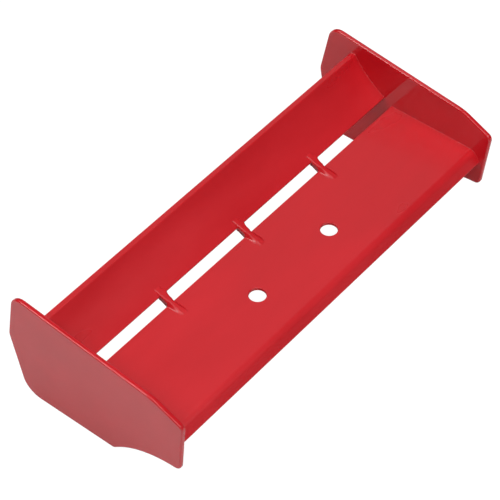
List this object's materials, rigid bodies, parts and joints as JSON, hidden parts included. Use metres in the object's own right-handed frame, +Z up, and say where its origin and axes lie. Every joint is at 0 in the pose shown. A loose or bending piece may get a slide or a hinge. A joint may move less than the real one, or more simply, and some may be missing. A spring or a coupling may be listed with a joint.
{
  "type": "model car rear wing",
  "caption": "Two-element rear wing for an off-road model car: a flat main plane with a turned-down nose, a cambered flap behind a slot, and shaped end plates.",
  "frame": {"origin": "centre of the wing seen from above, on the level of the end plates' bottom edges", "axes": "+X across the span to the car's left when the car drives towards -Y, +Y to the rear, +Z up"},
  "size_m": [0.1662, 0.0736, 0.0467],
  "materials": {
    "red_plastic": "semi-gloss, through-coloured moulded plastic with a faint moulding grain"
  },
  "bodies": {
    "root": {"main_plane": "red_plastic", "rear_flap": "red_plastic", "left_end_plate": "red_plastic", "right_end_plate": "red_plastic", "slot_rib_right": "red_plastic", "slot_rib_centre": "red_plastic", "slot_rib_left": "red_plastic"}
  },
  "joints": []
}
